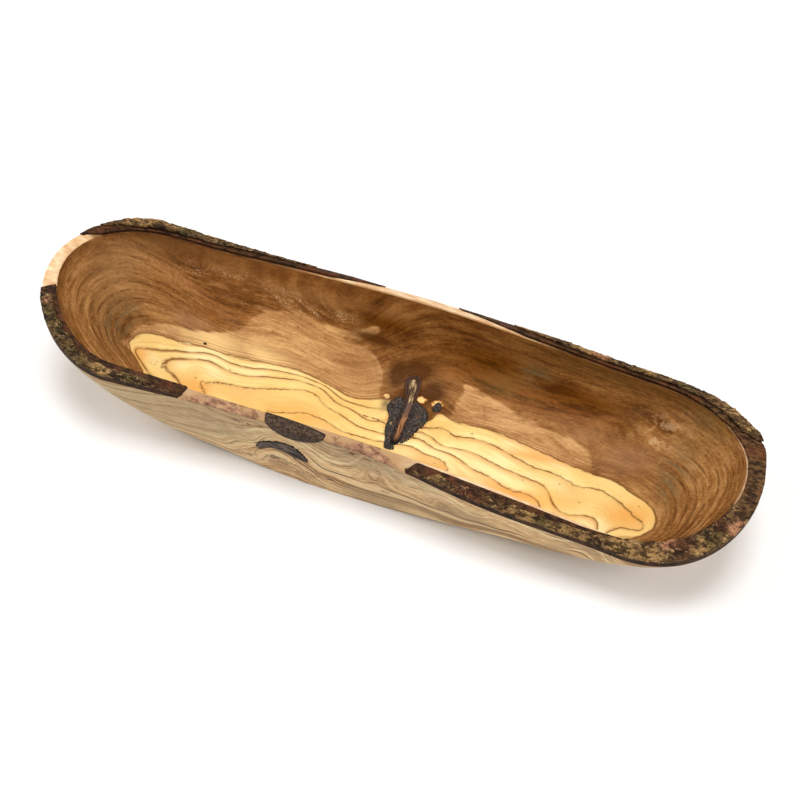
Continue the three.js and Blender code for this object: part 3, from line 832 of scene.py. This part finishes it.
def inlay(name, outline, lay, relief, material, slot):
    """A piece set flush in the wood. relief gives its height over the surface at plan points."""
    edge = rounded(outline)
    low, high = edge.min(0), edge.max(0)
    across, down = np.meshgrid(*(np.arange(a, b, INLAY_STEP) for a, b in zip(low, high)))
    inner = np.stack([across.ravel(), down.ravel()], -1)
    inner = inner[inside_distance(inner, edge) > 0.6 * INLAY_STEP]
    places = np.vstack([edge, inner])
    ring = list(range(len(edge)))
    made = geometry.delaunay_2d_cdt([Vector(v) for v in places], [], [ring], 1, 1e-5)
    places = np.array([list(v) for v in made[0]])
    surface, normal = (np.array(v) for v in zip(*(lay(v) for v in places)))
    # Every normal looks up, or to the near side on the steep wall.
    outward_side = np.where(normal @ [0, -1, 3] < 0, -1, 1)
    normal = normal * outward_side[:, None]
    inset = inside_distance(places, edge)
    top = surface + normal * relief(places, inset)[:, None]
    bottom = surface - normal * INLAY_FOOT
    count = len(places)
    faces = [list(f) for f in made[2]]
    under = [[v + count for v in reversed(f)] for f in faces]
    around = [[b, a, a + count, b + count] for a, b in border(faces)]
    fields = {"inset": np.tile(inset, 2)}
    piece = mesh_object(name + "_inlay", np.vstack([top, bottom]), faces + under + around, fields)
    piece.data.materials.append(material)
    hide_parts(name)


def border(faces):
    """The directed edges that only one face has."""
    edges = {(a, b) for f in faces for a, b in zip(f, f[1:] + f[:1])}
    return sorted((a, b) for a, b in edges if (b, a) not in edges)


def fractal(points, size, octaves=3, smoothness=1):
    """Lumpy noise from about -1 to 1, with lumps of a size in millimetres."""
    return np.array([noise.fractal(Vector(p) / size, smoothness, 2, octaves) for p in points])


def flat_noise(places, size, seed, stretch):
    points = np.column_stack([places * np.array(stretch), np.full(len(places), seed * SLICE_STEP)])
    return fractal(points, size)


def bowed(inset, depth, width):
    """A little over the wood along the edge of an inlay and lower in its middle."""
    return INLAY_RISE - depth * rising((inset - INLAY_EDGE) / width)


def core_relief(places, inset):
    """Split wood: long cracks down the branch, and torn layers above it."""
    cracks = np.abs(flat_noise(places, 3, 1, (1.6, 0.25)))
    return bowed(inset, 0.3, 1) - 0.6 * np.exp(-((cracks / 0.09) ** 2)) * rising(inset - INLAY_EDGE)


def pocket_relief(places, inset):
    """Crumbly old bark, a little lower than the wood."""
    crumbs = flat_noise(places, 2.2, 2, (1, 0.7))
    return bowed(inset, 0.5, 2) + 0.5 * crumbs * rising(inset - INLAY_EDGE)


def sliver_relief(places, inset):
    layers = flat_noise(places, 3, 3, (0.4, 1.5))
    return bowed(inset, 0.4, 1.2) + 0.2 * layers * rising(inset - INLAY_EDGE)


def split_branch():
    """The branch in the knot: a thin pale strip above, orange-brown below, dark torn layers round it."""
    p = Paint("split_branch")
    fibres = p.noise(1.4, 5, 0.65, squash=(1.4, 0.22, 0.5))
    heart = p.ramp(fibres, (0.36, (88, 50, 28)), (0.5, (140, 90, 56)), (0.64, (186, 136, 92)))
    heart = p.mix(heart, (104, 82, 70), p.band(p.y, 2, 10), 0.8)
    pale = p.ramp(fibres, (0.42, (56, 36, 20)), (0.5, (132, 104, 68)), (0.58, (198, 168, 120)))
    wood = p.mix(heart, pale, p.band(p.y, 14, 17))
    torn = p.noise(2.4, 4, 0.6)
    layers = p.tone((torn, 1.6), (p.field("inset"), 1), start=-0.8)
    crumbs = p.noise(1.3, 4, 0.75)
    slate = p.ramp(crumbs, (0.4, (24, 17, 14)), (0.52, (50, 38, 32)), (0.64, (96, 78, 64)))
    loops = p.band(p.math("SINE", p.times(layers, 7)), 0.2, 0.9)
    bark = p.mix(slate, p.mix((34, 20, 12), (112, 66, 36), loops), p.band(p.y, 14, 18))
    narrow = p.plus(1.7, p.times(p.band(p.y, 14, 22), 0.9))
    wood = p.mix(bark, wood, p.band(p.minus(layers, narrow), -0.25, 0.3))
    wood = p.mix(wood, (16, 10, 8), p.band(p.y, -9, -14))
    return p.finish(wood, 0.5, fibres, 0.3, 0.2)


def pocket_bark():
    """Old bark shut in the wood: slate black, browner and paler in places."""
    p = Paint("pocket_bark")
    crumbs = p.noise(1.3, 5, 0.75)
    bark = p.ramp(crumbs, (0.4, (26, 20, 18)), (0.5, (52, 45, 42)), (0.62, (104, 92, 84)))
    tints = p.noise(4, 3, 0.6)
    bark = p.mix(bark, (92, 62, 40), p.band(tints, 0.52, 0.66), 0.7)
    bark = p.mix(bark, (58, 60, 52), p.band(tints, 0.46, 0.36), 0.5)
    bark = p.mix((34, 20, 12), bark, p.band(p.field("inset"), 0, 0.6))
    return p.finish(bark, 0.55, crumbs, 0.5, 0.25)


def sliver_bark():
    p = Paint("sliver_bark")
    layers = p.noise(1.2, 4, 0.65, squash=(0.16, 1, 1))
    bark = p.ramp(layers, (0.4, (34, 24, 20)), (0.5, (80, 62, 52)), (0.62, (126, 106, 88)))
    bark = p.mix((30, 18, 12), bark, p.band(p.field("inset"), 0.1, 1.1))
    return p.finish(bark, 0.55, layers, 0.3, 0.3)


def add_inlays():
    branch, pocket, sliver = split_branch(), pocket_bark(), sliver_bark()
    for inset_piece in (
        ("knot_core", KNOT_CORE, laid_on_floor, core_relief, branch, "knot_wood"),
        ("knot_bark_left", POCKET_LEFT, laid_on_floor, pocket_relief, pocket, "pocket_bark"),
        ("knot_bark_right", POCKET_RIGHT, laid_on_floor, pocket_relief, pocket, "pocket_bark"),
        ("pin_knot", PIN_KNOT, laid_on_floor, pocket_relief, pocket, "knot_wood"),
        ("wall_bark_sliver", SLIVER, laid_on_wall, sliver_relief, sliver, "pocket_bark"),
    ):
        inlay(*inset_piece)


# Bark

BAST = 1.3  # thickness of the inner bark, the outer bark and the film
CORK = 2.2
FILM = 0.8
BARK_GAP = 0.3  # clearance between the layers of the solids, which the bark fills here
SINK = 0.4  # how far bark goes into what it lies on, so that no light shows under it
POINT_TAPER = 0.7  # how much of its width a run loses where it thins out
POINT_HEIGHT = 0.35  # and how much of its height is left there
ALONG_STEP = 0.55  # from one cross-section to the next
STATION_LENGTH = 45  # about how far it is from station to station
FEWEST_SECTIONS = 24
SEED_STEP = 31.0  # moves each run to a part of the noise of its own
TOP_STEPS = 24  # points over the top of a cross-section, and down each side
SIDE_STEPS = 4
LENS_SPAN = (13.25, 13.74)  # stations
LENS_RIM = 4.6  # how far it goes in over the rim, and down the wall
LENS_WALL = 8
LENS_THICK = 1.3
LENS_TIP = 0.12  # share of its full width at its ends
LENS_DROP = 0.4  # how much less of the rim it covers at the right end

# Patches of colour on the bark: station, share across the rim, and size in millimetres.
BARK_MARKS = {
    "bleached": ((8.45, 0.8, 9), (8.75, 0.6, 12), (7.9, 0.9, 7), (5.1, 0.9, 12), (4.6, 0.9, 12),
                 (4.1, 0.8, 8), (3.05, 0.8, 9), (2.62, 0.75, 7), (14.62, 0.45, 7), (15.3, 0.62, 9),
                 (15.65, 0.7, 10), (16.1, 0.6, 10), (0.35, 0.5, 8), (0.87, 0.6, 5), (11.9, 0.6, 7)),
    "rosy": ((0.56, 0.15, 5), (1.3, 0.85, 5), (4.5, 0.9, 7), (10.7, 0.6, 3), (14.85, 0.3, 5)),
    "mossy": ((1.02, 0.55, 7), (11, 0.85, 14), (11.5, 0.7, 9), (12.2, 0.8, 9), (8.2, 0.6, 9),
              (3.6, 0.6, 9), (15.45, 0.9, 9), (0.1, 0.85, 8)),
    "ruddy": ((0.72, 0.35, 8), (1.7, 0.4, 12), (2.2, 0.6, 12), (1.15, 0.25, 6), (5.2, 0.3, 14),
              (14.9, 0.8, 10), (12.3, 0.3, 12)),
}


def opened(distance, length):
    """0 at the end of a run and 1 where it is as wide as it gets. A length of 0 is a square end."""
    return rising(distance / length) if length else np.ones_like(distance)


def bark_profile():
    """Across share and height share of a cross-section's top and sides, inner edge first."""
    shoulder, reach, outer_edge = 0.7, 0.12, 0.85
    rise = [(0, h) for h in np.linspace(0, shoulder, SIDE_STEPS)]
    across = np.linspace(0.02, 0.98, TOP_STEPS)
    top = [(c, 1 - (1 - shoulder) * (1 - min(1, c / reach)) ** 2) for c in across]
    fall = [(1, h) for h in np.linspace(outer_edge, 0, SIDE_STEPS)]
    return np.array(rise + top + fall)


def bark_run(name, start, end, point, material, layer, seed):
    """A run of bark on the rim. start and end are stations at the inner and the outer edge, point
    is how far each end takes to thin out, and layer holds its thickness, roughness and inner edge:
    its shares of the rim's width at the start and the end, and the stations between which it turns."""
    inside = layer.get("inside", (0, 0))
    turn = layer.get("turn", (start[1], end[1]))
    at, spread, rise, overhang = layer.get("bulge", (0, 1, 0, 0))
    length = end[1] - start[1]
    spacing = np.linalg.norm(rim_point(end[1], 1, 0) - rim_point(start[1], 1, 0))
    count = int(max(FEWEST_SECTIONS, max(spacing, length * STATION_LENGTH) / ALONG_STEP))
    along = np.linspace(0, 1, count)
    full = np.minimum(opened(along * length, point[0]), opened((1 - along) * length, point[1]))
    profile = bark_profile()
    c, h = profile[None, :, 0], profile[None, :, 1]
    outer_t = blend(start[1], end[1], along)
    wave = fractal(rim_point(outer_t, 0.5, 0) + seed * SEED_STEP, 6, 4, 0.6)
    base_edge = blend(*inside, rising((outer_t - turn[0]) / (turn[1] - turn[0])))
    edge = blend(blend(base_edge, 1, POINT_TAPER), base_edge, full) + layer["ragged"] * wave
    across = edge[:, None] + (1 - edge[:, None]) * c
    slant = np.clip((across - base_edge[:, None]) / (1 - base_edge[:, None]), 0, 1)
    t = blend(blend(start[0], end[0], along)[:, None], outer_t[:, None], slant)
    swollen = np.exp(-(((outer_t - at) / spread) ** 2))
    height = ((layer["thick"] + rise * swollen) * blend(POINT_HEIGHT, 1, full))[:, None] * h
    across = across + (overhang * swollen / rim_width(outer_t))[:, None] * c * rising(h * 1.5)
    places = rim_point(t, across, layer["base"] + height).reshape(-1, 3)
    relief = bark_relief(places + seed * SEED_STEP)
    on_top = (np.clip(h * 1.4, 0, 1) * np.ones_like(height)).ravel()
    lift = layer["rough"] * relief * on_top * blend(0.4, 1, full).repeat(len(profile))
    places[:, 2] += np.maximum(lift, -0.6 * height.ravel())
    nudge = 0.3 * layer["rough"] * fractal(places + 200.0, 3, 3, 0.6)
    places[:, :2] += nudge[:, None] * outward(t.ravel())
    floor_inner = rim_point(t[:, 0], across[:, 0], layer["base"] - SINK)
    floor_outer = rim_point(t[:, -1], across[:, -1], layer["base"] - SINK)
    points = np.concatenate([floor_inner[:, None], places.reshape(count, -1, 3), floor_outer[:, None]], 1)
    bark_piece(name, points, relief.reshape(count, -1), on_top.reshape(count, -1), material)


def bark_piece(name, sections, relief, on_top, material):
    """The object of a row of closed sections, whose first and last points lie under the bark."""
    count, width = sections.shape[:2]
    points = sections.reshape(-1, 3)
    fields = {
        "relief": np.pad(relief, ((0, 0), (1, 1))).ravel(),
        # side: how far down a section's side; the bark materials paint shade there
        "side": 1 - np.pad(on_top, ((0, 0), (1, 1))).ravel(),
    }
    for key, spots in BARK_MARKS.items():
        blots = [blot(points, rim_point(t, share, 3), (size,) * 3) for t, share, size in spots]
        fields[key] = np.max(blots, axis=0)
    outer = name.startswith("bark")
    piece = mesh_object(name + ("_rough" if outer else "_film"), points, tube_faces(count, width), fields)
    piece.data.materials.append(material)
    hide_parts(name)


def outward(t):
    angle = bearing(t)[1]
    return np.stack([np.cos(angle), np.sin(angle)], -1)


def arris_point(t, down, lift):
    """A point over the outer arris: down along the skin, negative on the rim, and lift off the wood."""
    on_rim = rim_point(t, 1 + np.minimum(down, 0) / rim_width(t), 0)
    on_wall = hull_point(t, 1 - np.maximum(down, 0) / WALL_HEIGHT)
    turn = rising(0.5 + down / (4 * ARRIS)) * math.pi / 2
    place = np.where((down < 0)[..., None], on_rim, on_wall)
    place[..., :2] += (lift * np.sin(turn))[..., None] * outward(t)
    place[..., 2] += lift * np.cos(turn)
    return place


def bark_lens(name, start, end, thick, material):
    """The lens of bark left on the near side, bent over the outer arris."""
    along = (1 - np.cos(np.linspace(0, math.pi, 90))) / 2
    full = np.maximum(LENS_TIP, np.sqrt(4 * along * (1 - along)))[:, None]
    upper = -LENS_RIM * (1 - LENS_DROP * along[:, None] ** 2)
    down = blend(upper, blend(upper, LENS_WALL, full), np.linspace(0, 1, 30))
    t = blend(start, end, along)[:, None] * np.ones_like(down)
    relief = bark_relief(arris_point(t, down, thick * full).reshape(-1, 3)).reshape(down.shape)
    rounded_off = rising(np.minimum(down - down[:, :1], down[:, -1:] - down) / 1.2)
    top = arris_point(t, down, (thick * full + 0.25 * relief) * blend(0.35, 1, rounded_off))
    under = [arris_point(t[:, k], down[:, k], np.full(len(along), -SINK)) for k in (0, -1)]
    sections = np.concatenate([under[0][:, None], top, under[1][:, None]], 1)
    bark_piece(name, sections, relief, rounded_off, material)


def tube_faces(count, width):
    """Faces round a run of closed cross-sections, with a fan over each end."""
    faces = [list(f[::-1]) for f in grid_faces(count, width)]
    last = (count - 1) * width
    for j in range(1, width - 1):
        faces.append([0, j, j + 1])
        faces.append([last, last + j + 1, last + j])
    return faces


def bark_relief(points):
    """Crumbled plates drawn out along the log, with cracks where a noise passes 0."""
    grain = points * np.array([0.5, 0.9, 0.9])
    cracks = np.exp(-((fractal(grain + 70.0, 5, 3, 0.7) / 0.12) ** 2))
    return 0.75 * fractal(grain, 4, 5, 0.45) - 0.6 * cracks


# Colours of the bark's patches: dark, light, and how far they cover the rest.
PATCHES = (
    ("ruddy", (62, 34, 20), (104, 60, 36), 0.8),
    ("mossy", (60, 50, 27), (112, 92, 50), 0.7),
    ("bleached", (108, 76, 42), (190, 148, 92), 0.75),
    ("rosy", (132, 84, 58), (214, 152, 112), 0.7),
)


def rough_bark():
    """Outer bark: dark crumbly plates outlined in cream, bleached, rosy, mossy and ruddy patches; painted
    shade in cracks and on sides.
    """
    p = Paint("rough_bark")
    along = (0.6, 1, 1)
    crumbs, grit = p.noise(1.7, 5, 0.75, squash=along), p.noise(0.7, 3, 0.7)
    patches = p.noise(5, 4, 0.6, squash=along)
    tone = p.tone((crumbs, 0.5), (grit, 0.3), (patches, 0.2))
    bark = p.ramp(tone, (0.43, (52, 34, 19)), (0.5, (90, 64, 38)), (0.58, (134, 102, 64)))
    for mark, dark, light, share in PATCHES:
        patch = p.mix(dark, light, p.band(tone, 0.43, 0.57))
        shown = p.band(p.tone((p.field(mark), 0.9), (patches, 1.2)), 0.85, 1.35)
        bark = p.mix(bark, patch, shown, share)
    threads = p.edge(p.minus(p.noise(7, 4, 0.55, squash=along), 0.5), 0.011)
    pits = p.band(p.tone((p.field("relief"), 1), (crumbs, 2), start=-1), -0.1, -0.6)
    bark = p.layers(
        bark,
        ((206, 170, 116), threads, p.band(crumbs, 0.42, 0.56), 0.8),
        # painted shade in the low cracks between the bark's plates
        ((30, 18, 10), pits, 0.75),
        # painted shade down the sides, darkest where the bark meets the wood
        ((28, 17, 10), p.band(p.field("side"), 0.2, 0.7), 0.85),
    )
    return p.finish(bark, 0.68, tone, 0.9, 0.15)


def inner_bark(name, dark, light):
    """Inner bark: chocolate with lengthwise fibres, redder in places, and painted shade down its sides.
    """
    p = Paint(name)
    fibres = p.noise(1.6, 5, 0.7, squash=(0.35, 0.7, 1))
    bark = p.mix(dark, light, p.band(fibres, 0.4, 0.62))
    bark = p.mix(bark, (112, 62, 38), p.band(p.noise(8, 3), 0.5, 0.64), 0.5)
    # painted shade down the sides, darkest where the bark meets the wood
    bark = p.mix(bark, (22, 13, 9), p.band(p.field("side"), 0.3, 0.9), 0.7)
    return p.finish(bark, 0.6, fibres, 0.35, 0.1)


def lens_bark():
    p = Paint("lens_bark")
    crumbs = p.noise(1.1, 4, 0.8, squash=(0.8, 1, 1))
    bark = p.ramp(crumbs, (0.38, (46, 32, 23)), (0.5, (72, 54, 41)), (0.62, (110, 88, 68)))
    # painted shade along the lens's edges, where it meets the wood
    bark = p.mix(bark, (34, 22, 14), p.band(p.field("side"), 0.1, 0.9))
    return p.finish(bark, 0.65, crumbs, 0.4, 0.2)


def bark_film():
    """What is left of the inner bark where the rest has come off: pinkish-brown scraps on sapwood."""
    p = Paint("bark_film")
    scraps = p.noise(3, 5, 0.7, squash=(0.6, 1, 1))
    wood = p.ramp(scraps, (0.4, (196, 152, 112)), (0.5, (166, 120, 88)), (0.62, (116, 74, 52)))
    return p.finish(wood, 0.55, scraps, 0.35, 0.3)


def add_bark():
    rough, film = rough_bark(), bark_film()
    chocolate = inner_bark("chocolate_bast", (42, 26, 15), (92, 60, 36))
    cocoa = inner_bark("cocoa_bast", (44, 29, 18), (114, 82, 50))
    bast = {"base": 0, "thick": BAST + 2 * BARK_GAP, "rough": 0.15, "ragged": 0}
    worn = bast | {"rough": 0.55, "ragged": 0.04, "inside": (0.1, 0), "bulge": (2.38, 0.2, 0, 1.9)}
    thin = bast | {"thick": FILM, "rough": 0.25, "inside": (0.2, 0.2), "ragged": 0.12}
    cork = {"base": BAST + 2 * BARK_GAP, "thick": CORK, "rough": 0.85, "ragged": 0.1}
    strip = bast | {"inside": (0.22, 0), "turn": (15.7, 16.3)}
    fringe = cork | {"inside": (0.58, 0.06), "turn": (15.6, 16.4)}
    corner = cork | {"inside": (0.32, 0.28), "bulge": (2.45, 0.2, 1.6, 2)}
    hump = cork | {"inside": (0.2, 0.15), "bulge": (8.62, 0.35, 2, 0.5)}
    left, right = cork | {"inside": (0.25, 0.5)}, cork | {"inside": (0.3, 0.3)}
    runs = (
        ("bast_front_left", (10.46, 10.5), (12.66, 12.56), (0, 0.05), chocolate, bast),
        ("bark_front_left", (10.6, 10.57), (12.5, 12.5), (0.05, 0.2), rough, left),
        ("bast_front_middle", (12.58, 12.64), (13.16, 13.2), (0.2, 0.3), film, thin),
        ("bast_front_knot", (13.8, 13.8), (14.3, 14.32), (0.3, 0.2), film, thin),
        ("bast_front_right", (14.36, 14.4), (17.46, 17.46), (0.12, 0), chocolate, strip),
        ("bark_front_right", (14.46, 14.46), (17.46, 17.46), (0.2, 0), rough, fringe),
        ("bast_right_end", (1.46, 1.46), (3.455, 3.455), (0, 0), cocoa, worn),
        ("bark_right_end", (2.54, 2.46), (3.455, 3.455), (0.1, 0), rough, corner),
        ("bast_back_right", (3.455, 3.455), (5.6, 5.72), (0, 0.55), chocolate, bast),
        ("bark_back_right", (3.455, 3.455), (5.1, 5.24), (0, 0.5), rough, right),
        ("bast_back_left", (6.5, 6.36), (9.5, 9.54), (0.35, 0.2), chocolate, bast),
        ("bark_back_left", (7.1, 6.96), (9.16, 9.26), (1.1, 0.4), rough, hump),
    )
    for seed, run in enumerate(runs, 1):
        bark_run(*run, seed)
    bark_lens("bark_front_patch", *LENS_SPAN, LENS_THICK + BARK_GAP, lens_bark())


# Floor, light and camera

AIM = (5.98, -0.31, 30)
CAMERA_DISTANCE = 650
CAMERA_ELEVATION = 52
CAMERA_YAW = 17.9
CAMERA_ROLL = 2.0
CAMERA_LENS = 53.2
SENSOR = 36

FLOOR_REACH = 3  # metres
FLOOR_COLOUR = 0.9
NEAR_GLOW = 0.05
FAR_GLOW = 0.85  # where the lamps no longer reach
GLOW_RISES = (450, 1300)  # millimetres from the bowl's middle

# Lamps that look at the bowl: name, place in metres, size and watts.
LAMPS = (
    ("overhead", (0, 0.08, 2.4), 0.9, 32),
    ("left_side", (-1.1, -0.15, 0.8), 0.7, 7),
    ("right_side", (1.1, -0.15, 0.8), 0.7, 7),
)
WORLD_LEVEL = 0.24


def pale_floor():
    """A white table, lifted to white for the eye, that keeps the bowl's soft shadow."""
    mesh = bpy.data.meshes.new("table")
    corners = [(x * FLOOR_REACH, y * FLOOR_REACH, 0) for x, y in ((-1, -1), (1, -1), (1, 1), (-1, 1))]
    mesh.from_pydata(corners, [], [(0, 1, 2, 3)])
    table = bpy.data.objects.new("table", mesh)
    bpy.context.scene.collection.objects.link(table)
    p = Paint("white_table")
    rays = p.node("LightPath", {}).outputs
    mirrored = p.math("MAXIMUM", rays["Is Glossy Ray"], rays["Is Transmission Ray"])
    seen = p.math("MAXIMUM", rays["Is Camera Ray"], mirrored)
    matt = p.node("BsdfDiffuse", {"Color": (FLOOR_COLOUR,) * 3 + (1,)})
    distance = p.node("VectorMath", {0: p.place}, operation="LENGTH").outputs["Value"]
    strength = p.plus(NEAR_GLOW, p.times(p.band(distance, *GLOW_RISES), FAR_GLOW))
    glow = p.node("Emission", {"Color": (1, 1, 1, 1), "Strength": p.times(seen, strength)})
    both = p.node("AddShader", {0: matt.outputs[0], 1: glow.outputs[0]})
    p.node("OutputMaterial", {"Surface": both.outputs[0]})
    mesh.materials.append(p.material)


def studio_light():
    world = bpy.data.worlds.new("studio")
    bpy.context.scene.world = world
    world.use_nodes = True
    tree = world.node_tree
    background = tree.nodes["Background"]
    background.inputs["Color"].default_value = (1, 1, 1, 1)
    rays = tree.nodes.new("ShaderNodeLightPath")
    strength = tree.nodes.new("ShaderNodeMapRange")
    strength.inputs["To Min"].default_value = WORLD_LEVEL
    strength.inputs["To Max"].default_value = 1
    tree.links.new(rays.outputs["Is Camera Ray"], strength.inputs["Value"])
    tree.links.new(strength.outputs[0], background.inputs["Strength"])
    for lamp in LAMPS:
        area_light(*lamp)


def area_light(name, place, size, watts):
    lamp = bpy.data.lights.new(name, "AREA")
    lamp.size = size
    lamp.energy = watts
    holder = bpy.data.objects.new(name, lamp)
    bpy.context.scene.collection.objects.link(holder)
    holder.location = place
    holder.rotation_euler = (-Vector(place)).to_track_quat("-Z", "Y").to_euler()


def photo_camera():
    lens = bpy.data.cameras.new("camera")
    lens.sensor_width = SENSOR
    lens.lens = CAMERA_LENS
    camera = bpy.data.objects.new("camera", lens)
    bpy.context.scene.collection.objects.link(camera)
    turn = Matrix.Rotation(math.radians(CAMERA_YAW), 3, "Z")
    tilt = Matrix.Rotation(math.radians(90 - CAMERA_ELEVATION), 3, "X")
    roll = Matrix.Rotation(math.radians(CAMERA_ROLL), 3, "Z")
    facing = turn @ tilt @ roll
    back = facing @ Vector((0, 0, CAMERA_DISTANCE))
    camera.matrix_world = Matrix.Translation(Vector(to_frame(AIM)) + back * MM) @ facing.to_4x4()
    bpy.context.scene.camera = camera


carved_wood()
add_inlays()
add_bark()
pale_floor()
studio_light()
photo_camera()
bpy.context.scene.view_settings.view_transform = "Standard"
